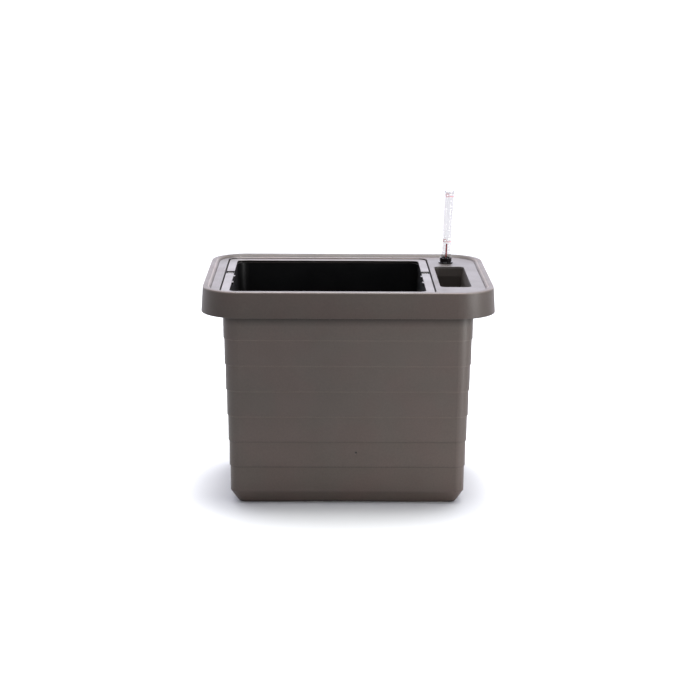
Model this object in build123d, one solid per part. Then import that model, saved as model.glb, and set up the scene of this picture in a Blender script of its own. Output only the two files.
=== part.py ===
from build123d import *
import os
from math import atan2, degrees, radians, tan

# Self watering planter, in millimetres. +Z is up, +X to the right, -Y is the front.
# The origin is the centre of the footprint, on the surface that the pot stands on.

# ---- outer pot -----------------------------------------------------------------
RIM_TOP = 307.0            # height of the rim's top face
RIM_HALF = 200.0           # half length of the rim at the foot of its skirt
DEPTH_LESS = 50.0          # every pot section is this much less in half depth
SKIRT_FOOT = 271.7
SKIRT_DRAFT_IN = 2.4       # how far the skirt leans in over its height
RIM_WALL = 3.0
RIM_CORNER = 54.0
RIM_EDGE_FILLET = 1.6
LEDGE_TOP = 290.0          # the deck rests here
LEDGE_THICK = 3.0
POCKET_HALF = 187.2        # pocket that holds the deck
LIP_FLARE = 3.8            # the pocket's mouth is this much wider
DECK_DROP = 3.3            # the deck lies this far below the rim's top

BAND_TOP_HALF = 170.35     # half length at the foot of the top band
BAND_PITCH = 36.1
BAND_STEP = 1.1            # each band is set in from the one above it
BAND_DRAFT = 0.28          # and narrows by this over its own height
TOP_BAND_FOOT = 234.7
LOWER_BANDS = 6
BODY_CORNER_LESS = 149.6   # corner radius = half length less this
FOOT_CHAMFER_TOP = 18.5
FOOT_CHAMFER_IN = 10.4
FOOT_CORNER = 11.0         # corner radius on the ground
FOOT_FILLET = 2.5
BAND_FILLET = 0.5          # soft lower edge of every band
SKIRT_FILLET = 0.8

CAVITY_TOP_HALF = 168.0
CAVITY_KNEE_HALF = 158.9
CAVITY_KNEE = 20.0
CAVITY_FLOOR = 4.0
CAVITY_FLOOR_HALF = 150.4
CAVITY_FLOOR_CORNER = 9.0
CAVITY_CORNER_LESS = 149.6

FOOT_RELIEF = 1.7          # the underside arches up between four corner feet
RELIEF_HALF_X = 100.0
RELIEF_HALF_Y = 55.0

DIMPLE_X = 11.6
DIMPLE_Z = 75.0
DIMPLE_R = 1.6
DIMPLE_DEEP = 0.7

# ---- drain plug ----------------------------------------------------------------
PLUG_X = 106.0
PLUG_Y = 0.0
PLUG_SHANK_R = 8.0
PLUG_FIT = 0.1
PLUG_HEAD_R = 12.0
PLUG_HEAD_THICK = 3.0
PLUG_HEAD_FILLET = 1.0
PLUG_SHORT = 0.4           # the shank stops this far above the floor's underside
PLUG_RING_R = 6.5
PLUG_RING_BAR = 1.6

# ---- deck panel ----------------------------------------------------------------
DECK_TOP = RIM_TOP - DECK_DROP
DECK_GROOVE = 0.4          # gap between the deck and the pocket
DECK_THICK = 3.0
DECK_WALL = 3.0
DECK_FILLET = 0.6
MOUTH_FILLET = 1.0         # round edge of the liner's opening
CHUTE_FILLET = 0.8
OPENING_WALL = 2.5
LINER_X = -27.8            # centre of the liner along X
OPENING_HALF_X = 146.3
OPENING_HALF_Y = 130.0
OPENING_CORNER = 15.0
LINER_LEDGE_IN = 7.5
LINER_LEDGE_THICK = 2.5

CHUTE_X = 147.1
CHUTE_Y = -13.8
CHUTE_HALF_X = 21.4
CHUTE_HALF_Y = 75.7
CHUTE_CORNER = 8.0
CHUTE_FOOT = 235.0
CHUTE_WALL = 1.8
CHUTE_KNEE = 290.0         # the chute flares out above here
CHUTE_FLARE = 12.0
CHUTE_DRAFT = 4.0
CHUTE_FLANGE = 4.0         # flange that is welded under the deck
CHUTE_FLANGE_THICK = 1.5

GATE_X = 68.5              # small moulding dimple behind the liner's opening
GATE_Y = 133.7
GATE_R = 1.1
GATE_DEEP = 0.8

# ---- liner ---------------------------------------------------------------------
SEAT_GAP = 0.3             # sideways clearance of the liner in the deck
FLANGE_LOW = LEDGE_TOP + LINER_LEDGE_THICK
FLANGE_THICK = 6.2
FLANGE_TOP = FLANGE_LOW + FLANGE_THICK
PLANT_HALF_X = 133.1       # planting opening
PLANT_HALF_Y = 115.0
LINER_CORNER = 16.0
LINER_DRAFT = 2.9
LINER_WALL = 2.5
LINER_FLOOR = 90.0         # underside of the liner's floor
DRAIN_SLOT = (34.0, 4.0)
DRAIN_COLUMNS = 5
DRAIN_PITCH_X = 46.0
DRAIN_ROWS_Y = (-78.0, -58.0, 58.0, 78.0)

BASKET_OFFSET = 66.0       # baskets stand this far each side of the liner's centre
BASKET_TOP_R = 26.0
BASKET_FOOT_R = 20.0
BASKET_FOOT = 12.0
BASKET_WALL = 2.0
BASKET_RIM_R = 30.0
BASKET_FIT = 0.3
BASKET_SLOTS = 8
BASKET_SLOT_WIDE = 4.4
BASKET_SLOT_ABOVE = 8.0    # from the cup's underside to its slots
BASKET_SLOT_BELOW = 14.0   # from the slots to the liner's floor
BASKET_HOLES = 6
BASKET_HOLE_R = 2.5
BASKET_HOLE_RING = 10.0    # radius of the circle the floor holes stand on

# ---- carrying handles ----------------------------------------------------------
PIVOT_Y = 21.0
HANDLE_THICK = 3.5
PIVOT_Z = FLANGE_TOP + HANDLE_THICK / 2
HANDLE_OUT_X = 144.7
HANDLE_OUT_Y = 128.7
HANDLE_OUT_CORNER = 13.3
HANDLE_IN_CORNER = 9.0
HANDLE_FILLET = 0.7
ARM_END_GAP = 8.5          # from the pivot line to each arm's square end
SWING = 75.0               # how far each handle rises
BEVEL_CLEAR = 0.6          # degrees left between the arms' bevels when both are up
KNUCKLE_R = 1.75
PIN_R = 0.9
PIN_FIT = 0.05
LUG_WIDE = 2.6
LUG_HALF_Y = 1.75
KNUCKLE_GAP = 0.25
NIB_Y = (-3.0, -48.0)
NIB_LONG = 9.0
NIB_OUT = 2.2
NIB_THICK = 2.6
NIB_DOWN = 0.5             # below the arm's top

# ---- level gauge ---------------------------------------------------------------
GAUGE_X = 144.6            # its axis crosses the deck's top here
GAUGE_Y = 91.0
GAUGE_LEAN = 2.05          # degrees towards +X
TUBE_R = 7.0
TUBE_BORE_R = 5.7
TUBE_SLIDE = 0.3
COLLAR_R = 8.6
COLLAR_FIT = 0.1
COLLAR_HIGH = 8.6
COLLAR_FLANGE_R = 10.5
COLLAR_FLANGE = 2.0
COLLAR_BELOW = 12.0
COLLAR_FILLET = 0.8
BOSS_R = 11.5
SIGHT_LOW = -28.0          # lengths along the axis, from the deck's top
SIGHT_TOP = 104.5
CAP_THICK = 2.0
CAP_FILLET = 0.8
CAP_SPIGOT = 3.0
SPIGOT = 12.0
SPIGOT_FIT = 0.05
SPIGOT_BORE_R = 4.6
GUIDE_LOW = -288.0
GUIDE_STOP = 4.0           # thick ring under the sight tube
FOOT_LOW = -299.0
FOOT_FLOOR = 2.0
INLET_SLOTS = 4
INLET_WIDE = 3.0
INLET_BELOW = 2.0          # from the slots to the guide tube
FLOAT_R = 5.2
FLOAT_LONG = 30.0
FLOAT_FILLET = 1.2
ROD_R = 1.1
ROD_TOP = 28.6
ROD_FILLET = 0.6
MARK_LEVELS = (32.5, 99.0)
MARK_THICK = 0.15
MARK_RING_R = 2.6
MARK_RING_HOLE_R = 1.7
MARK_RING_X = -3.2         # beside the axis
MARK_RING_RISE = 1.4       # above the mark's level
MARK_DASH_LONG = 6.2
MARK_DASH_WIDE = 1.2


def block(half_x, half_y, radius, low, high, inset=0.0, centre=(0.0, 0.0)):
    """Upright rounded block whose sides lean in by inset between low and high."""
    outline = Pos(centre[0], centre[1], low) * RectangleRounded(2 * half_x, 2 * half_y, radius)
    lean = degrees(atan2(inset, high - low))
    return extrude(outline, amount=high - low, taper=lean)


def pot_block(half, corner_less, low, high, inset=0.0):
    """Block on the pot's centre, with the pot's rule for depth and corners."""
    return block(half, half - DEPTH_LESS, half - corner_less, low, high, inset)


def flared_block(foot_half, foot_corner, head_half, head_corner, low, high):
    """Pot block with its own half length and corner radius at each end."""
    sections = []
    for level, half, corner in ((low, foot_half, foot_corner), (high, head_half, head_corner)):
        outline = RectangleRounded(2 * half, 2 * (half - DEPTH_LESS), corner)
        sections.append(Pos(0, 0, level) * outline)
    return loft(sections, ruled=True)


def cylinder(radius, low, high, centre=(0.0, 0.0)):
    return Pos(centre[0], centre[1], low) * extrude(Circle(radius), amount=high - low)


def box_between(low, high):
    size = [b - a for a, b in zip(low, high)]
    middle = [(a + b) / 2 for a, b in zip(low, high)]
    return Pos(*middle) * Box(*size)


# ---- outer pot -----------------------------------------------------------------
def pot_rim():
    """Deep skirted rim: an inverted channel round a pocket for the deck."""
    lean = SKIRT_DRAFT_IN / (RIM_TOP - SKIRT_FOOT)
    corner_less = RIM_HALF - RIM_CORNER
    ledge_low = LEDGE_TOP - LEDGE_THICK
    rim = pot_block(RIM_HALF, corner_less, SKIRT_FOOT, RIM_TOP, SKIRT_DRAFT_IN)
    rim = fillet(rim.faces().sort_by(Axis.Z)[-1].edges(), RIM_EDGE_FILLET)
    rim = fillet(rim.faces().sort_by(Axis.Z)[0].edges(), SKIRT_FILLET)

    inside_foot = RIM_HALF - RIM_WALL
    finger_high = ledge_low - SKIRT_FOOT
    rim -= pot_block(inside_foot, corner_less, SKIRT_FOOT, ledge_low, lean * finger_high)

    channel_half = inside_foot - lean * finger_high
    channel_top = RIM_TOP - RIM_WALL
    channel = pot_block(channel_half, corner_less, ledge_low, channel_top, lean * (channel_top - ledge_low))
    channel -= pot_block(POCKET_HALF + RIM_WALL, corner_less, ledge_low, channel_top)
    return rim - channel


def soft_foot(band):
    """The band with its lower outer edge rounded."""
    return fillet(band.faces().sort_by(Axis.Z)[0].edges(), BAND_FILLET)


def pot_body():
    """Seven bands, each one set in below the last, over a chamfered foot."""
    ledge_low = LEDGE_TOP - LEDGE_THICK
    top_high = (LEDGE_TOP + ledge_low) / 2
    top_grow = BAND_DRAFT * (top_high - TOP_BAND_FOOT) / BAND_PITCH
    body = soft_foot(pot_block(BAND_TOP_HALF, BODY_CORNER_LESS, TOP_BAND_FOOT, top_high, -top_grow))
    high = TOP_BAND_FOOT
    half = BAND_TOP_HALF
    for _ in range(LOWER_BANDS):
        low = max(high - BAND_PITCH, FOOT_CHAMFER_TOP)
        shrink = BAND_DRAFT * (high - low) / BAND_PITCH
        half = half - BAND_STEP - shrink
        band = pot_block(half, BODY_CORNER_LESS, low, high, -shrink)
        body += soft_foot(band) if low > FOOT_CHAMFER_TOP else band
        high = low
    foot_half = half - FOOT_CHAMFER_IN
    foot = flared_block(foot_half, FOOT_CORNER, half, half - BODY_CORNER_LESS, 0.0, FOOT_CHAMFER_TOP)
    return body + fillet(foot.faces().sort_by(Axis.Z)[0].edges(), FOOT_FILLET)


def pot_cavity():
    """Everything inside the walls: the reservoir, the knee and the deck's pocket."""
    corner_less = RIM_HALF - RIM_CORNER
    wall_grow = CAVITY_TOP_HALF - CAVITY_KNEE_HALF
    knee_corner = CAVITY_KNEE_HALF - CAVITY_CORNER_LESS
    cavity = flared_block(CAVITY_FLOOR_HALF, CAVITY_FLOOR_CORNER, CAVITY_KNEE_HALF, knee_corner,
                          CAVITY_FLOOR, CAVITY_KNEE)
    cavity += pot_block(CAVITY_KNEE_HALF, CAVITY_CORNER_LESS, CAVITY_KNEE, LEDGE_TOP, -wall_grow)
    cavity += pot_block(POCKET_HALF, corner_less, LEDGE_TOP, DECK_TOP)
    cavity += pot_block(POCKET_HALF, corner_less, DECK_TOP, RIM_TOP, -LIP_FLARE)
    return cavity


def relief_barrel(half, turn):
    """Huge level barrel that cuts a long shallow arch, half wide each way, in the underside."""
    radius = (half ** 2 + FOOT_RELIEF ** 2) / (2 * FOOT_RELIEF)
    barrel = turn * extrude(Circle(radius), amount=RIM_HALF, both=True)
    return Pos(0, 0, FOOT_RELIEF - radius) * barrel


def make_outer_pot():
    pot = pot_rim() + pot_body() - pot_cavity()
    pot -= relief_barrel(RELIEF_HALF_X, Rot(90, 0, 0))
    pot -= relief_barrel(RELIEF_HALF_Y, Rot(0, 90, 0))
    pot -= cylinder(PLUG_SHANK_R + PLUG_FIT, 0.0, CAVITY_FLOOR, (PLUG_X, PLUG_Y))
    front = Axis((DIMPLE_X, -RIM_HALF, DIMPLE_Z), (0, 1, 0))
    face = pot.find_intersection_points(front)[0][0]
    dimple = Pos(DIMPLE_X, face.Y + DIMPLE_DEEP, DIMPLE_Z) * Rot(90, 0, 0)
    return pot - dimple * extrude(Circle(DIMPLE_R), amount=2 * DIMPLE_DEEP)


def make_drain_plug():
    """Stepped plug with a ring standing on its head."""
    head_top = CAVITY_FLOOR + PLUG_HEAD_THICK
    plug = cylinder(PLUG_SHANK_R, FOOT_RELIEF + PLUG_SHORT, CAVITY_FLOOR, (PLUG_X, PLUG_Y))
    head = cylinder(PLUG_HEAD_R, CAVITY_FLOOR, head_top, (PLUG_X, PLUG_Y))
    plug += fillet(head.faces().sort_by(Axis.Z)[-1].edges(), PLUG_HEAD_FILLET)
    ring_place = Pos(PLUG_X, PLUG_Y, head_top + PLUG_RING_R) * Rot(90, 0, 0)
    return plug + ring_place * Torus(PLUG_RING_R, PLUG_RING_BAR)


# ---- deck panel ----------------------------------------------------------------
def chute_inset(level):
    """How far the chute's walls stand in from its mouth's edge at a level."""
    flared = tan(radians(CHUTE_FLARE)) * (DECK_TOP - max(level, CHUTE_KNEE))
    drafted = tan(radians(CHUTE_DRAFT)) * max(CHUTE_KNEE - level, 0.0)
    return flared + drafted


def chute_stage(grow, low, high):
    """One straight-sided stage of the filler chute, grown outwards by the given wall."""
    inset = chute_inset(low)
    half_x = CHUTE_HALF_X + grow - inset
    half_y = CHUTE_HALF_Y + grow - inset
    radius = CHUTE_CORNER + grow - inset
    return block(half_x, half_y, radius, low, high, chute_inset(high) - inset, (CHUTE_X, CHUTE_Y))


def opening_block(grow, low, high):
    half_x = OPENING_HALF_X + grow
    half_y = OPENING_HALF_Y + grow
    return block(half_x, half_y, OPENING_CORNER + grow, low, high, 0.0, (LINER_X, 0.0))


def make_top_frame():
    """Inverted tray with the liner's opening, the chute's mouth and the gauge boss."""
    corner_less = RIM_HALF - RIM_CORNER
    half = POCKET_HALF - DECK_GROOVE
    under = DECK_TOP - DECK_THICK
    deck = pot_block(half, corner_less, LEDGE_TOP, DECK_TOP)
    deck = fillet(deck.faces().sort_by(Axis.Z)[-1].edges(), DECK_FILLET)
    deck -= pot_block(half - DECK_WALL, corner_less, LEDGE_TOP, under)
    deck += opening_block(OPENING_WALL, LEDGE_TOP, DECK_TOP)
    deck += cylinder(BOSS_R, LEDGE_TOP, under + DECK_THICK / 2, (GAUGE_X, GAUGE_Y))

    opening = opening_block(0.0, FLANGE_LOW, DECK_TOP)
    opening += opening_block(-LINER_LEDGE_IN, LEDGE_TOP, FLANGE_LOW)
    deck -= opening
    deck -= chute_stage(0.0, under, DECK_TOP)
    edges = deck.faces().sort_by(Axis.Z)[-1].inner_wires().edges()
    deck = fillet(edges.filter_by_position(Axis.X, -RIM_HALF, CHUTE_X - CHUTE_HALF_X - 1), MOUTH_FILLET)
    edges = deck.faces().sort_by(Axis.Z)[-1].inner_wires().edges()
    deck = fillet(edges.filter_by_position(Axis.X, CHUTE_X - CHUTE_HALF_X - 1, RIM_HALF), CHUTE_FILLET)
    deck -= cylinder(COLLAR_R + COLLAR_FIT, LEDGE_TOP, DECK_TOP, (GAUGE_X, GAUGE_Y))
    return deck - cylinder(GATE_R, DECK_TOP - GATE_DEEP, DECK_TOP, (GATE_X, GATE_Y))


def make_filler_chute():
    """Tapered chute with a flared mouth, welded under the deck by its flange."""
    under = DECK_TOP - DECK_THICK
    flange = block(CHUTE_HALF_X + CHUTE_FLANGE, CHUTE_HALF_Y + CHUTE_FLANGE, CHUTE_CORNER + CHUTE_FLANGE,
                   under - CHUTE_FLANGE_THICK, under, 0.0, (CHUTE_X, CHUTE_Y))
    chute = flange
    for low, high in ((CHUTE_FOOT, CHUTE_KNEE), (CHUTE_KNEE, under)):
        chute += chute_stage(CHUTE_WALL, low, high)
    for low, high in ((CHUTE_FOOT, CHUTE_KNEE), (CHUTE_KNEE, under)):
        chute -= chute_stage(0.0, low, high)
    return chute


def make_indicator_collar():
    """Flanged collar, pushed into the deck and bored along the gauge's axis."""
    place = (GAUGE_X, GAUGE_Y)
    flange = cylinder(COLLAR_FLANGE_R, DECK_TOP, DECK_TOP + COLLAR_FLANGE, place)
    flange = fillet(flange.faces().sort_by(Axis.Z)[-1].edges(), COLLAR_FILLET)
    neck = cylinder(COLLAR_R, DECK_TOP - COLLAR_BELOW, DECK_TOP + COLLAR_HIGH, place)
    neck = fillet(neck.faces().sort_by(Axis.Z)[-1].edges(), COLLAR_FILLET)
    reach = COLLAR_BELOW + COLLAR_HIGH
    bore = gauge_frame() * cylinder(TUBE_R + TUBE_SLIDE, -reach, reach)
    return flange + neck - bore


# ---- liner ---------------------------------------------------------------------
def liner_block(grow, low, high):
    """Tapered space inside the liner, grown outwards by the given wall."""
    lean = tan(radians(LINER_DRAFT))
    inset = lean * (FLANGE_TOP - low)
    rise = lean * (high - low)
    half_x = PLANT_HALF_X + grow - inset
    half_y = PLANT_HALF_Y + grow - inset
    radius = LINER_CORNER + grow - inset
    return block(half_x, half_y, radius, low, high, -rise, (LINER_X, 0.0))


def drain_slots():
    slots = Part()
    middle = (DRAIN_COLUMNS - 1) / 2
    for column in range(DRAIN_COLUMNS):
        for row in DRAIN_ROWS_Y:
            x = LINER_X + (column - middle) * DRAIN_PITCH_X
            slot = Pos(x, row, LINER_FLOOR) * SlotOverall(DRAIN_SLOT[0], DRAIN_SLOT[1])
            slots += extrude(slot, amount=LINER_WALL)
    return slots


def hinge_lugs():
    """Two upright lugs on each side of the flange, either side of the knuckles."""
    lugs = Part()
    outer = HANDLE_OUT_X
    inner = PLANT_HALF_X
    for side in (-1, 1):
        for low, high in ((inner, inner + LUG_WIDE), (outer - LUG_WIDE, outer)):
            ends = sorted((LINER_X + side * low, LINER_X + side * high))
            lug = box_between((ends[0], PIVOT_Y - LUG_HALF_Y, FLANGE_TOP - 0.5),
                              (ends[1], PIVOT_Y + LUG_HALF_Y, PIVOT_Z))
            lug += across_x(LUG_HALF_Y, ends[0], ends[1])
            lugs += lug
    return lugs


def across_x(radius, low, high):
    """Cylinder along X on the handles' pivot line."""
    return Pos(low, PIVOT_Y, PIVOT_Z) * Rot(0, 90, 0) * extrude(Circle(radius), amount=high - low)


def basket_x(side):
    return LINER_X + side * BASKET_OFFSET


def make_liner_pot():
    half_x = OPENING_HALF_X - SEAT_GAP
    half_y = OPENING_HALF_Y - SEAT_GAP
    corner = OPENING_CORNER - SEAT_GAP
    flange = block(half_x, half_y, corner, FLANGE_LOW, FLANGE_TOP, 0.0, (LINER_X, 0.0))
    liner = flange + liner_block(LINER_WALL, LINER_FLOOR, FLANGE_LOW + FLANGE_THICK / 2)
    liner -= liner_block(0.0, LINER_FLOOR + LINER_WALL, FLANGE_TOP)
    liner -= drain_slots()
    for side in (-1, 1):
        hole_r = BASKET_TOP_R + BASKET_FIT
        liner -= cylinder(hole_r, LINER_FLOOR, LINER_FLOOR + LINER_WALL, (basket_x(side), 0.0))
    liner += hinge_lugs()
    return liner - across_x(PIN_R + PIN_FIT, LINER_X - HANDLE_OUT_X - 1, LINER_X + HANDLE_OUT_X + 1)


def make_wick_basket(side):
    """Slotted cup that hangs by its rim in a hole of the liner's floor."""
    seat = LINER_FLOOR + LINER_WALL
    rim_top = seat + BASKET_WALL
    inner_top = BASKET_TOP_R - BASKET_WALL
    inner_foot = BASKET_FOOT_R - BASKET_WALL
    outline = Polyline((0, BASKET_FOOT), (BASKET_FOOT_R, BASKET_FOOT), (BASKET_TOP_R, seat),
                       (BASKET_RIM_R, seat), (BASKET_RIM_R, rim_top), (inner_top, rim_top),
                       (inner_foot, BASKET_FOOT + BASKET_WALL), (0, BASKET_FOOT + BASKET_WALL), close=True)
    cup = revolve(Plane.XZ * make_face(outline), axis=Axis.Z)
    slot_low = BASKET_FOOT + BASKET_SLOT_ABOVE
    slot_high = seat - BASKET_SLOT_BELOW
    for index in range(BASKET_SLOTS):
        turn = Rot(0, 0, 360.0 * (index + 0.5) / BASKET_SLOTS)
        half = BASKET_SLOT_WIDE / 2
        cup -= turn * box_between((inner_foot / 2, -half, slot_low), (BASKET_RIM_R, half, slot_high))
    for place in PolarLocations(BASKET_HOLE_RING, BASKET_HOLES):
        cup -= Pos(0, 0, BASKET_FOOT) * place * extrude(Circle(BASKET_HOLE_R), amount=BASKET_WALL)
    return Pos(basket_x(side), 0, 0) * cup


# ---- carrying handles ----------------------------------------------------------
def knuckle_ends(inboard):
    """Where a knuckle starts and ends, measured out from the liner's centre."""
    low = PLANT_HALF_X + LUG_WIDE
    high = HANDLE_OUT_X - LUG_WIDE
    wide = (high - low - 3 * KNUCKLE_GAP) / 2
    start = low + KNUCKLE_GAP if inboard else high - KNUCKLE_GAP - wide
    return start, start + wide


def make_handle(way, inboard):
    """U-shaped handle. way is -1 for the front one and +1 for the rear one."""
    centre = (LINER_X, 0.0)
    top = FLANGE_TOP + HANDLE_THICK
    ring = block(HANDLE_OUT_X, HANDLE_OUT_Y, HANDLE_OUT_CORNER, FLANGE_TOP, top, 0.0, centre)
    ring -= block(PLANT_HALF_X, PLANT_HALF_Y, HANDLE_IN_CORNER, FLANGE_TOP, top, 0.0, centre)
    keep_from = PIVOT_Y + way * ARM_END_GAP
    keep_to = way * RIM_HALF
    keep = box_between((-RIM_HALF - 50, min(keep_from, keep_to), FLANGE_TOP - 1),
                       (RIM_HALF, max(keep_from, keep_to), top + 1))
    handle = ring & keep
    long_edges = handle.faces().sort_by(Axis.Z)[-1].edges().filter_by(
        lambda e: abs(e.center().Y - keep_from) > 0.01)
    handle = fillet(long_edges, HANDLE_FILLET)

    # The arms are bevelled near the pivot, so that both handles can stand up together.
    bevel = 90.0 - SWING - BEVEL_CLEAR
    reach = HANDLE_THICK / 2 / tan(radians(bevel)) + 1.0
    wedge = Polyline((0, 0), (way * reach, reach * tan(radians(bevel))), (0, reach), close=True)
    cutter = extrude(Plane.YZ * make_face(wedge), amount=RIM_HALF, both=True)
    handle -= Pos(LINER_X, PIVOT_Y, PIVOT_Z) * cutter

    start, end = knuckle_ends(inboard)
    for side in (-1, 1):
        ends = sorted((LINER_X + side * start, LINER_X + side * end))
        neck = box_between((ends[0], min(PIVOT_Y, keep_from + way), PIVOT_Z - KNUCKLE_R),
                           (ends[1], max(PIVOT_Y, keep_from + way), PIVOT_Z))
        handle += neck + across_x(KNUCKLE_R, ends[0], ends[1])
    bore_ends = (LINER_X - RIM_HALF, LINER_X + RIM_HALF)
    return handle - across_x(PIN_R + PIN_FIT, *bore_ends)


def make_front_handle():
    """The longer handle, with two rounded finger nibs on each arm's inner edge."""
    handle = make_handle(-1, True)
    nib_low = FLANGE_TOP + HANDLE_THICK - NIB_THICK - NIB_DOWN
    nib_high = nib_low + NIB_THICK
    for side in (-1, 1):
        edge = LINER_X + side * PLANT_HALF_X
        reach = sorted((edge + side, edge - side * NIB_OUT))
        for y in NIB_Y:
            nib = cylinder(NIB_LONG / 2, nib_low, nib_high, (edge, y))
            handle += nib & box_between((reach[0], y - NIB_LONG, nib_low), (reach[1], y + NIB_LONG, nib_high))
    return handle


def make_rear_handle():
    return make_handle(1, False)


def make_handle_pin(side):
    ends = sorted((LINER_X + side * PLANT_HALF_X, LINER_X + side * HANDLE_OUT_X))
    return across_x(PIN_R, ends[0], ends[1])


# ---- level gauge ---------------------------------------------------------------
def gauge_frame():
    """Local frame of the gauge: Z along its leaning axis, zero at the deck's top."""
    return Pos(GAUGE_X, GAUGE_Y, DECK_TOP) * Rot(0, GAUGE_LEAN, 0)


def pipe(radius, bore, low, high):
    return cylinder(radius, low, high) - cylinder(bore, low, high)


def make_sight_tube():
    return gauge_frame() * pipe(TUBE_R, TUBE_BORE_R, SIGHT_LOW, SIGHT_TOP)


def make_tube_cap():
    lid = cylinder(TUBE_R, SIGHT_TOP, SIGHT_TOP + CAP_THICK)
    lid = fillet(lid.faces().sort_by(Axis.Z)[-1].edges(), CAP_FILLET)
    return gauge_frame() * (lid + cylinder(TUBE_BORE_R - SPIGOT_FIT, SIGHT_TOP - CAP_SPIGOT, SIGHT_TOP))


def make_level_marks():
    """A ring and a dash at each level, printed proud on the tube's front."""
    reach = 2 * TUBE_R
    skin = pipe(TUBE_R + MARK_THICK, TUBE_R, min(MARK_LEVELS) - reach, max(MARK_LEVELS) + reach)
    skin &= box_between((-reach, -reach, 0), (reach, 0, SIGHT_TOP + reach))
    loop = Circle(MARK_RING_R) - Circle(MARK_RING_HOLE_R)
    marks = Part()
    for level in MARK_LEVELS:
        ring_place = Pos(MARK_RING_X, 0, level + MARK_RING_RISE) * Rot(90, 0, 0)
        dash_low = (0.0, -reach, level - MARK_DASH_WIDE / 2)
        dash_high = (MARK_DASH_LONG, 0, level + MARK_DASH_WIDE / 2)
        marks += skin & ring_place * extrude(loop, amount=reach)
        marks += skin & box_between(dash_low, dash_high)
    return gauge_frame() * marks


def make_guide_tube():
    tube = pipe(TUBE_R, TUBE_BORE_R, GUIDE_LOW, SIGHT_LOW)
    collar = pipe(TUBE_BORE_R, SPIGOT_BORE_R, SIGHT_LOW - GUIDE_STOP, SIGHT_LOW)
    spigot = pipe(TUBE_BORE_R - SPIGOT_FIT, SPIGOT_BORE_R, SIGHT_LOW, SIGHT_LOW + SPIGOT)
    return gauge_frame() * (tube + collar + spigot)


def make_tube_foot():
    """Closed foot with inlet slots, pushed onto the guide tube's lower end."""
    foot = pipe(TUBE_R, TUBE_BORE_R, FOOT_LOW, GUIDE_LOW) + cylinder(TUBE_R, FOOT_LOW, FOOT_LOW + FOOT_FLOOR)
    for index in range(INLET_SLOTS):
        turn = Rot(0, 0, 45.0 + 360.0 * index / INLET_SLOTS)
        half = INLET_WIDE / 2
        high = GUIDE_LOW - INLET_BELOW
        foot -= turn * box_between((0, -half, FOOT_LOW + FOOT_FLOOR), (COLLAR_R, half, high))
    return gauge_frame() * foot


def float_low():
    return FOOT_LOW + FOOT_FLOOR


def make_float_body():
    body = cylinder(FLOAT_R, float_low(), float_low() + FLOAT_LONG)
    ends = body.edges().filter_by(GeomType.CIRCLE)
    return gauge_frame() * fillet(ends, FLOAT_FILLET)


def make_float_rod():
    rod = cylinder(ROD_R, float_low() + FLOAT_LONG, ROD_TOP)
    tip = rod.faces().sort_by(Axis.Z)[-1].edges()
    return gauge_frame() * fillet(tip, ROD_FILLET)


NODES = {
    "outer_pot": make_outer_pot,
    "drain_plug": make_drain_plug,
    "top_frame": make_top_frame,
    "filler_chute": make_filler_chute,
    "indicator_collar": make_indicator_collar,
    "liner_pot": make_liner_pot,
    "wick_basket_left": lambda: make_wick_basket(-1),
    "wick_basket_right": lambda: make_wick_basket(1),
    "handle_pin_left": lambda: make_handle_pin(-1),
    "handle_pin_right": lambda: make_handle_pin(1),
    "front_handle": make_front_handle,
    "rear_handle": make_rear_handle,
    "sight_tube": make_sight_tube,
    "tube_cap": make_tube_cap,
    "level_marks": make_level_marks,
    "guide_tube": make_guide_tube,
    "tube_foot": make_tube_foot,
    "float_body": make_float_body,
    "float_rod": make_float_rod,
}

os.makedirs("parts", exist_ok=True)
for name, make in NODES.items():
    solid = make()
    export_step(solid, f"parts/{name}.step")
    print(name, round(solid.volume), "mm3")
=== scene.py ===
"""Looks of a self watering planter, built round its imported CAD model. Units are metres."""

import math

import bpy
from mathutils import Matrix, Vector


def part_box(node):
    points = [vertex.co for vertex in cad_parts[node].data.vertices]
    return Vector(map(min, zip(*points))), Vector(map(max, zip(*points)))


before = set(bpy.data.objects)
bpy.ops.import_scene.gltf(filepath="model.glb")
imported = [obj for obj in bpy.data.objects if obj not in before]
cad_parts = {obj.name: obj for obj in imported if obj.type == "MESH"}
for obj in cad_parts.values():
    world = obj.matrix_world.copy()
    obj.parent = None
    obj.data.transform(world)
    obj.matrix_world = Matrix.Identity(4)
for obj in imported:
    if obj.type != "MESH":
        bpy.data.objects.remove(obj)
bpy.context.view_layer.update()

# ---- camera, studio and light: driving values ----------------------------------
# The camera has a long lens, and looks at the front from a little above the rim.
CAMERA_PLACE = Vector((-0.0284, -2.3675, 0.7578))
CAMERA_YAW = -0.0137
CAMERA_PITCH = 0.2339
CAMERA_ROLL = -0.0063
CAMERA_LENS = 87.66
SENSOR_WIDTH = 36.0
CAMERA_REACH = 200.0

FLOOR_RADIUS = 60.0
FLOOR_TONE = (0.80, 0.815, 0.80, 1.0)
FLOOR_ROUGHNESS = 0.75
FLOOR_SPECULAR = 0.2
FLOOR_GLOW = 0.3           # the far floor melts into the white backdrop
FLOOR_GLOW_FROM = 0.9
FLOOR_GLOW_TO = 3.5
SKY = (                    # axis of the direction, from, to, brightness at each
    ("Z", 0.10, 0.95, 0.06, 0.62),
    ("Y", 0.10, 0.80, 0.0, 2.7),
    ("X", 0.0, 0.95, 0.0, 0.22),
)
SKY_TINT = (0.89, 0.885, 1.01, 1.0)
SOFTBOXES = (              # name, place, target, size, watts, spread in degrees
    ("overhead", (0.06, 0.16, 2.2), (0.0, 0.12, 0.2), (1.5, 0.9), 76.0, 180.0),
    ("right_strip", (0.95, -0.70, 0.32), (0.15, -0.10, 0.30), (0.16, 0.55), 0.46, 32.0),
)

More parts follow.
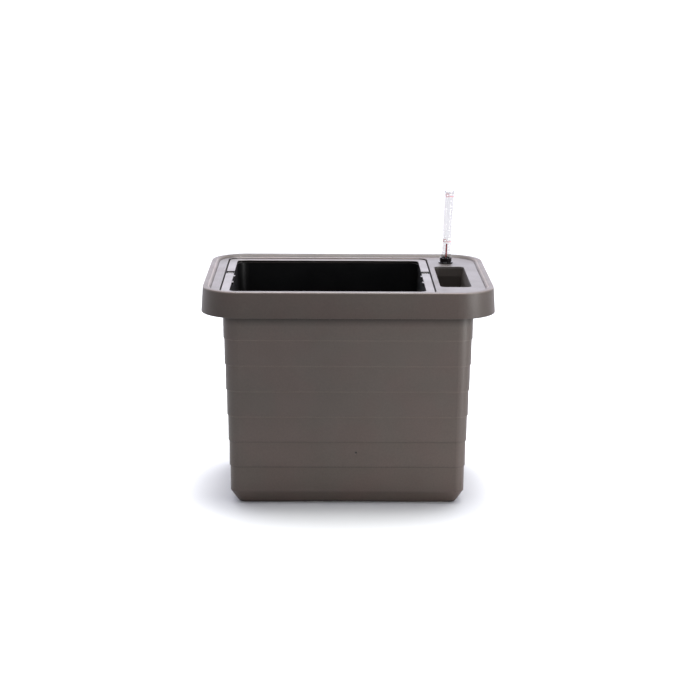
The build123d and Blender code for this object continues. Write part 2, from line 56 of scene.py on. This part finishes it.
# ---- colours and finishes ------------------------------------------------------
TAUPE = (0.060, 0.045, 0.037)
TAUPE_DECK = (0.062, 0.052, 0.048)
TAUPE_SATIN = (0.070, 0.059, 0.053)
# a darker copy of the taupe for the chute's inside: painted shade
TAUPE_SHADED = (0.042, 0.033, 0.028)
COOL_SIDE = (0.98, 1.01, 1.00)     # the plastic's hue wanders between these two
WARM_SIDE = (1.02, 0.98, 0.98)
BLACK = (0.002, 0.002, 0.002)
BLACK_GLOSS = (0.008, 0.006, 0.007)
BLACK_RUBBER = (0.02, 0.02, 0.02)
ROD_RED = (0.50, 0.075, 0.08)
MARK_RED = (0.80, 0.34, 0.36)
FOAM_WHITE = (0.82, 0.82, 0.80)
CLEAR_TINT = (0.80, 0.79, 0.785, 1.0)
CLEAR_IOR = 1.46
CLEAR_ROUGHNESS = (0.02, 0.06)
CLEAR_BUMP = 0.06
STEEL = (0.62, 0.61, 0.59)
STEEL_TONE = (0.85, 1.05)
STEEL_ROUGHNESS = (0.22, 0.38)

# ---- patterns: scales in cycles per metre --------------------------------------
USUAL_NOISE = (0.3, 0.7)   # nearly all noise lies between these
FLOW_SCALE = 9.0           # clouds left by the flow of the melt
FLOW_STRETCH = (1.0, 1.0, 0.35)
SPECK_SCALE = 420.0
HUE_SCALE = 16.0
HUE_NOISE = (0.4, 0.6)
RUB_SCALE = 26.0           # patches that are rubbed smoother, or left rougher
RUB_NOISE = (0.35, 0.65)
SMOOTHER = 0.03
ROUGHER = 0.035
GRAIN_SCALE = 620.0        # spark-eroded grain of the mould
GRAIN_DEPTH = 0.0004
DIE_LINE_SCALE = 700.0     # lines along the clear tube
DIE_LINE_STRETCH = (1.0, 1.0, 0.02)
DIE_LINE_DEPTH = 0.0001
TURNING_SCALE = 2500.0     # lathe lines round the pins, which lie along X
TURNING_STRETCH = (1.0, 0.1, 0.1)
STEEL_RUB_SCALE = 900.0

# ---- painted light and shade of the pot ----------------------------------------
RIM_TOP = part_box("outer_pot")[1][2]
SKIRT_HIGH = 0.0353
TOP_BAND_FOOT = 0.2347     # the bands' feet are the CAD pot's
BAND_PITCH = 0.0361
HIGHLIT_BANDS = 4           # painted highlight lines at the upper band edges, painted shadow lines at the ones below
SHADED_BANDS = 2
EDGE_WIDTH = 0.0009
EDGE_HIGHLIGHT = 1.45
STEP_SHADE = 0.50
LOW_PALE = 0.55            # painted light: towards the ground the plastic is painted paler
LOW_PALE_TOP = 0.150
BODY_GLOSS = 0.42
POT_SHADE_STOPS = (              # depth below the rim's top, tone and gloss: painted shade under the skirt and on the skirt
    (SKIRT_HIGH + 0.0175, 1.0, BODY_GLOSS),
    (SKIRT_HIGH + 0.0130, 0.78, 0.38),
    (SKIRT_HIGH + 0.0085, 0.48, 0.30),
    (SKIRT_HIGH + 0.0040, 0.32, 0.20),
    (SKIRT_HIGH + 0.0002, 0.02, 0.03),     # painted shadow, darkest in the corner under the skirt
    # the skirt is painted darker than the body: painted shade
    (SKIRT_HIGH, 0.80, 0.35),
    (0.0022, 0.89, 0.38),
    (0.0, 0.90, 0.50),
)
RIM_HIGHLIGHT = 2.1
RIM_HIGHLIGHT_STOPS = (               # depth below the rim's top, and factor: painted highlight along the round edges
    (0.0400, 1.0),
    (0.0022, 1.0),
    (0.0013, RIM_HIGHLIGHT),
    (0.0004, RIM_HIGHLIGHT),
    (0.0, 1.0),
)
RIM_HIGHLIGHT_FADE = (0.100, 0.135)     # the painted highlight fades out towards the rear between these
GATE_MARK = (0.0116, 0.0750)       # x and z of the small round gate mark on the front; its dimple is painted dark, painted shade
GATE_MARK_R = 0.0019
GATE_MARK_CORE = 0.4               # share of its radius that is fully painted dark
GATE_DIMPLE_SHADE = 0.05
GATE_FLATTEN = 0.01                # depth counts this much, which is enough to clear the back

# ---- painted shade of the handles and painted light on the deck ----------------
HANDLE_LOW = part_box("rear_handle")[0][2]
HANDLE_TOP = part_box("rear_handle")[1][2]
HANDLE_SHADE_STOPS = (           # height, tone and gloss: painted shade on the sides between the top and bottom faces
    (HANDLE_LOW, 1.0, 0.5),
    (HANDLE_LOW + 0.0003, 0.80, 0.4),
    (HANDLE_LOW + 0.0010, 0.12, 0.12),
    (HANDLE_TOP - 0.0009, 0.25, 0.20),
    (HANDLE_TOP - 0.0003, 1.0, 0.5),
    (HANDLE_TOP, 1.0, 0.5),
)
HANDLE_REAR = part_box("rear_handle")[1][1]
DECK_EDGE_LIGHT = 3.5
DECK_LIGHT_STOPS = (              # distance behind the rear handle, and factor: the opening's edge there is painted pale, painted light on its shaded wall
    (-0.0010, 1.0),
    (0.0006, 1.0),
    (0.0010, DECK_EDGE_LIGHT),
    (0.0022, DECK_EDGE_LIGHT),
    (0.0030, 1.0),
    (0.0040, 1.0),
)


# ---- shader nodes --------------------------------------------------------------
def new_material(name):
    material = bpy.data.materials.new(name)
    material.use_nodes = True
    return material, material.node_tree, material.node_tree.nodes["Principled BSDF"]


def node(tree, kind, **values):
    """A shader node with its input values set by name."""
    made = tree.nodes.new(kind)
    for key, value in values.items():
        made.inputs[key.replace("_", " ")].default_value = value
    return made


def object_place(tree):
    """Place of the shaded point in the object's own coordinates."""
    return tree.nodes.new("ShaderNodeTexCoord").outputs["Object"]


def object_axis(tree, axis):
    axes = tree.nodes.new("ShaderNodeSeparateXYZ")
    tree.links.new(object_place(tree), axes.inputs[0])
    return axes.outputs[axis]


def noise(tree, scale, detail=2.0, stretch=(1.0, 1.0, 1.0)):
    """Noise in the object's own coordinates; scale is in cycles per metre."""
    mapping = node(tree, "ShaderNodeMapping", Scale=stretch)
    made = node(tree, "ShaderNodeTexNoise", Scale=scale, Detail=detail)
    tree.links.new(object_place(tree), mapping.inputs["Vector"])
    tree.links.new(mapping.outputs["Vector"], made.inputs["Vector"])
    return made.outputs["Fac"]


def remap(tree, value, span, goal, kind="LINEAR"):
    """The value, carried from its span (low, high) onto the goal (at low, at high)."""
    ramp = tree.nodes.new("ShaderNodeMapRange")
    ramp.interpolation_type = kind
    for key, number in zip(("From Min", "From Max", "To Min", "To Max"), (*span, *goal)):
        ramp.inputs[key].default_value = number
    tree.links.new(value, ramp.inputs["Value"])
    return ramp.outputs["Result"]


def combine(tree, operation, first, second):
    made = tree.nodes.new("ShaderNodeMath")
    made.operation = operation
    tree.links.new(first, made.inputs[0])
    tree.links.new(second, made.inputs[1])
    return made.outputs[0]


def times(tree, first, second):
    return combine(tree, "MULTIPLY", first, second)


def tinted(tree, colour, value):
    """The colour, fixed or from a socket, made lighter or darker by a value near 1."""
    made = tree.nodes.new("ShaderNodeVectorMath")
    made.operation = "SCALE"
    if isinstance(colour, tuple):
        made.inputs[0].default_value = colour
    else:
        tree.links.new(colour, made.inputs[0])
    tree.links.new(value, made.inputs["Scale"])
    return made.outputs[0]


def factor_along(tree, axis, stops):
    """A smooth factor along an axis, from (metres, factor) pairs in rising order."""
    low, high = stops[0][0], stops[-1][0]
    along = remap(tree, object_axis(tree, axis), (low, high), (0.0, 1.0))
    ramp = tree.nodes.new("ShaderNodeValToRGB")
    tree.links.new(along, ramp.inputs["Fac"])
    points = ramp.color_ramp.elements
    for place, _ in stops[1:-1]:
        points.new((place - low) / (high - low))
    for point, (_, factor) in zip(points, stops):
        point.color = (factor, factor, factor, 1.0)
    return ramp.outputs["Color"]


# ---- camera, floor and light ---------------------------------------------------
def make_camera():
    """Camera turned by yaw, pitch and roll, with no depth of field and no shift."""
    yaw, pitch, roll = CAMERA_YAW, CAMERA_PITCH, CAMERA_ROLL
    ahead = Vector((-math.sin(yaw) * math.cos(pitch), math.cos(yaw) * math.cos(pitch), -math.sin(pitch)))
    right = Vector((math.cos(yaw), math.sin(yaw), 0.0))
    down = ahead.cross(right)
    x_axis = math.cos(roll) * right + math.sin(roll) * down
    y_axis = math.sin(roll) * right - math.cos(roll) * down
    lens = bpy.data.cameras.new("camera")
    lens.lens = CAMERA_LENS
    lens.sensor_width = SENSOR_WIDTH
    lens.clip_end = CAMERA_REACH
    camera = bpy.data.objects.new("camera", lens)
    turn = Matrix((x_axis, y_axis, -ahead)).transposed().to_4x4()
    camera.matrix_world = Matrix.Translation(CAMERA_PLACE) @ turn
    bpy.context.scene.collection.objects.link(camera)
    bpy.context.scene.camera = camera


def make_floor():
    """A pale floor that glows a little further out."""
    mesh = bpy.data.meshes.new("floor")
    corners = [(x * FLOOR_RADIUS, y * FLOOR_RADIUS, 0.0) for x, y in ((-1, -1), (1, -1), (1, 1), (-1, 1))]
    mesh.from_pydata(corners, [], [(0, 1, 2, 3)])
    floor = bpy.data.objects.new("floor", mesh)
    bpy.context.scene.collection.objects.link(floor)
    material, tree, shader = new_material("studio_floor")
    shader.inputs["Base Color"].default_value = FLOOR_TONE
    shader.inputs["Roughness"].default_value = FLOOR_ROUGHNESS
    shader.inputs["Specular IOR Level"].default_value = FLOOR_SPECULAR
    away = tree.nodes.new("ShaderNodeVectorMath")
    away.operation = "LENGTH"
    tree.links.new(object_place(tree), away.inputs[0])
    glow = remap(tree, away.outputs["Value"], (FLOOR_GLOW_FROM, FLOOR_GLOW_TO), (0.0, FLOOR_GLOW))
    tree.links.new(glow, shader.inputs["Emission Strength"])
    mesh.materials.append(material)


def make_world():
    """A white studio: bright wall behind, pale ceiling, and a dim room in front."""
    world = bpy.data.worlds.new("studio")
    world.use_nodes = True
    bpy.context.scene.world = world
    tree = world.node_tree
    background = tree.nodes["Background"]
    background.inputs["Color"].default_value = SKY_TINT
    axes = tree.nodes.new("ShaderNodeSeparateXYZ")
    where = tree.nodes.new("ShaderNodeTexCoord")
    tree.links.new(where.outputs["Generated"], axes.inputs[0])
    levels = []
    for axis, low, high, from_level, to_level in SKY:
        level = remap(tree, axes.outputs[axis], (low, high), (from_level, to_level), "SMOOTHSTEP")
        levels.append(level)
    total = levels[0]
    for level in levels[1:]:
        total = combine(tree, "ADD", total, level)
    tree.links.new(total, background.inputs["Strength"])


def make_softbox(name, place, target, size, watts, spread):
    light = bpy.data.lights.new(name, "AREA")
    light.shape = "RECTANGLE"
    light.size, light.size_y = size
    light.energy = watts
    light.spread = math.radians(spread)
    lamp = bpy.data.objects.new(name, light)
    aim = (Vector(target) - Vector(place)).to_track_quat("-Z", "Y")
    lamp.matrix_world = Matrix.Translation(place) @ aim.to_matrix().to_4x4()
    bpy.context.scene.collection.objects.link(lamp)


# ---- painted light and shade ---------------------------------------------------
def low_paleness(level):
    """How much paler the plastic is painted at a height: painted light towards the ground."""
    return 1.0 + LOW_PALE * max(0.0, 1.0 - level / LOW_PALE_TOP)


def band_edges():
    """Stops for the thin painted line at the foot of every band, from the lowest up: a painted highlight
    on the upper bands, a painted shadow on the lower ones.
    """
    stops = []
    for index in reversed(range(HIGHLIT_BANDS + SHADED_BANDS)):
        level = TOP_BAND_FOOT - index * BAND_PITCH
        factor = EDGE_HIGHLIGHT if index < HIGHLIT_BANDS else STEP_SHADE
        pale = low_paleness(level)
        stops += [(level - EDGE_WIDTH, pale), (level, pale * factor), (level + EDGE_WIDTH, pale)]
    return stops


def rim_highlight(tree):
    """Factor of the painted highlight along the rim's round edges."""
    rub_and_highlight = factor_along(tree, "Z", [(RIM_TOP - depth, factor) for depth, factor in RIM_HIGHLIGHT_STOPS])
    fade = remap(tree, object_axis(tree, "Y"), RIM_HIGHLIGHT_FADE, (0.0, 1.0))
    made = node(tree, "ShaderNodeMix", B=1.0)
    tree.links.new(fade, made.inputs["Factor"])
    tree.links.new(rub_and_highlight, made.inputs["A"])
    return made.outputs["Result"]


def gate_dimple_shade(tree):
    """Factor that is low inside the gate mark: painted shade in its dimple."""
    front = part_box("outer_pot")[0][1]
    flat = node(tree, "ShaderNodeMapping", Scale=(1.0, GATE_FLATTEN, 1.0))
    tree.links.new(object_place(tree), flat.inputs["Vector"])
    away = tree.nodes.new("ShaderNodeVectorMath")
    away.operation = "DISTANCE"
    away.inputs[1].default_value = (GATE_MARK[0], front * GATE_FLATTEN, GATE_MARK[1])
    tree.links.new(flat.outputs["Vector"], away.inputs[0])
    edge = (GATE_MARK_CORE * GATE_MARK_R, GATE_MARK_R)
    return remap(tree, away.outputs["Value"], edge, (GATE_DIMPLE_SHADE, 1.0))


# painted highlight and shadow lines, painted paler low down, painted shade under the skirt and in the
# gate dimple
def pot_tone(tree):
    stops = [(0.0, low_paleness(0.0))] + band_edges()
    stops += [(RIM_TOP - depth, tone) for depth, tone, _ in POT_SHADE_STOPS]
    marked = times(tree, factor_along(tree, "Z", stops), gate_dimple_shade(tree))
    return times(tree, marked, rim_highlight(tree))


def pot_gloss(tree):
    stops = [(0.0, BODY_GLOSS)]
    stops += [(RIM_TOP - depth, gloss) for depth, _, gloss in POT_SHADE_STOPS]
    return times(tree, factor_along(tree, "Z", stops), rim_highlight(tree))


# painted shade on the handles' sides
def handle_shade(tree):
    return factor_along(tree, "Z", [(level, tone) for level, tone, _ in HANDLE_SHADE_STOPS])


def handle_shade_gloss(tree):
    return factor_along(tree, "Z", [(level, gloss) for level, _, gloss in HANDLE_SHADE_STOPS])


# painted light on the deck's opening edge behind the rear handle
def deck_painted_light(tree):
    return factor_along(tree, "Y", [(HANDLE_REAR + behind, factor) for behind, factor in DECK_LIGHT_STOPS])


# ---- materials -----------------------------------------------------------------
def moulded_plastic(name, colour, rough, grain, mottle=0.05, specular=0.5, tone=None, gloss=None):
    """Injection moulded plastic: spark-eroded grain, faint flow marks and rubbed patches.

    tone and gloss are functions that make the factor of painted light and shade on the colour and its
    specular level.
    """
    material, tree, shader = new_material(name)
    mottled = (1.0 - mottle, 1.0 + mottle)
    clouds = remap(tree, noise(tree, FLOW_SCALE, 3.0, FLOW_STRETCH), USUAL_NOISE, mottled)
    specks = remap(tree, noise(tree, SPECK_SCALE), USUAL_NOISE, mottled)
    shade = times(tree, clouds, specks)
    if tone:
        shade = times(tree, shade, tone(tree))
    hue = tree.nodes.new("ShaderNodeMix")
    hue.data_type = "RGBA"
    hue.inputs["A"].default_value = [c * f for c, f in zip(colour, COOL_SIDE)] + [1.0]
    hue.inputs["B"].default_value = [c * f for c, f in zip(colour, WARM_SIDE)] + [1.0]
    tree.links.new(remap(tree, noise(tree, HUE_SCALE), HUE_NOISE, (0.0, 1.0)), hue.inputs["Factor"])
    tree.links.new(tinted(tree, hue.outputs["Result"], shade), shader.inputs["Base Color"])
    rub_and_highlight = remap(tree, noise(tree, RUB_SCALE, 4.0), RUB_NOISE, (rough - SMOOTHER, rough + ROUGHER))
    tree.links.new(rub_and_highlight, shader.inputs["Roughness"])
    shader.inputs["Specular IOR Level"].default_value = specular
    if gloss:
        tree.links.new(gloss(tree), shader.inputs["Specular IOR Level"])
    bump = node(tree, "ShaderNodeBump", Strength=grain, Distance=GRAIN_DEPTH)
    tree.links.new(noise(tree, GRAIN_SCALE, 4.0), bump.inputs["Height"])
    tree.links.new(bump.outputs["Normal"], shader.inputs["Normal"])
    return material


def clear_plastic():
    """Clear moulded tube, with very faint die lines along it."""
    material, tree, shader = new_material("clear_acrylic")
    shader.inputs["Transmission Weight"].default_value = 1.0
    shader.inputs["IOR"].default_value = CLEAR_IOR
    shader.inputs["Base Color"].default_value = CLEAR_TINT
    lines = noise(tree, DIE_LINE_SCALE, 1.0, DIE_LINE_STRETCH)
    tree.links.new(remap(tree, lines, USUAL_NOISE, CLEAR_ROUGHNESS), shader.inputs["Roughness"])
    bump = node(tree, "ShaderNodeBump", Strength=CLEAR_BUMP, Distance=DIE_LINE_DEPTH)
    tree.links.new(lines, bump.inputs["Height"])
    tree.links.new(bump.outputs["Normal"], shader.inputs["Normal"])
    return material


def turned_steel():
    material, tree, shader = new_material("pin_metal")
    shader.inputs["Metallic"].default_value = 1.0
    lines = remap(tree, noise(tree, TURNING_SCALE, 2.0, TURNING_STRETCH), USUAL_NOISE, STEEL_TONE)
    tree.links.new(tinted(tree, STEEL, lines), shader.inputs["Base Color"])
    rub_and_highlight = remap(tree, noise(tree, STEEL_RUB_SCALE), USUAL_NOISE, STEEL_ROUGHNESS)
    tree.links.new(rub_and_highlight, shader.inputs["Roughness"])
    return material


MATERIALS = {
    "taupe_body": moulded_plastic("taupe_body", TAUPE, rough=0.50, grain=0.20, tone=pot_tone,
                                  gloss=pot_gloss),
    "taupe_deck": moulded_plastic("taupe_deck", TAUPE_DECK, rough=0.46, grain=0.20, tone=deck_painted_light),
    "taupe_painted_shade": moulded_plastic("taupe_painted_shade", TAUPE_SHADED, rough=0.50, grain=0.16, specular=0.35),
    "taupe_handle": moulded_plastic("taupe_handle", TAUPE_SATIN, rough=0.38, grain=0.14, tone=handle_shade,
                                    gloss=handle_shade_gloss),
    "black_liner": moulded_plastic("black_liner", BLACK, rough=0.42, grain=0.16, mottle=0.12,
                                   specular=0.28),
    "black_gloss": moulded_plastic("black_gloss", BLACK_GLOSS, rough=0.20, grain=0.03, mottle=0.10,
                                   specular=0.20),
    "rubber": moulded_plastic("rubber", BLACK_RUBBER, rough=0.62, grain=0.25, mottle=0.10),
    "rod_red": moulded_plastic("rod_red", ROD_RED, rough=0.22, grain=0.03, mottle=0.04),
    "mark_red": moulded_plastic("mark_red", MARK_RED, rough=0.35, grain=0.02, mottle=0.08),
    "float_foam": moulded_plastic("float_foam", FOAM_WHITE, rough=0.70, grain=0.50, mottle=0.03),
    "clear": clear_plastic(),
    "steel": turned_steel(),
}

FINISHES = {
    "outer_pot": "taupe_body",
    "top_frame": "taupe_deck",
    "front_handle": "taupe_handle",
    "rear_handle": "taupe_handle",
    "liner_pot": "black_liner",
    "wick_basket_left": "black_liner",
    "wick_basket_right": "black_liner",
    "filler_chute": "taupe_painted_shade",
    "indicator_collar": "black_gloss",
    "guide_tube": "black_gloss",
    "tube_foot": "black_gloss",
    "drain_plug": "rubber",
    "handle_pin_left": "steel",
    "handle_pin_right": "steel",
    "sight_tube": "clear",
    "tube_cap": "clear",
    "level_marks": "mark_red",
    "float_body": "float_foam",
    "float_rod": "rod_red",
}


def finish_nodes():
    for name, key in FINISHES.items():
        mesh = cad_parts[name].data
        mesh.materials.clear()
        mesh.materials.append(MATERIALS[key])


make_camera()
make_floor()
make_world()
for softbox in SOFTBOXES:
    make_softbox(*softbox)
finish_nodes()
bpy.context.scene.view_settings.view_transform = "Standard"
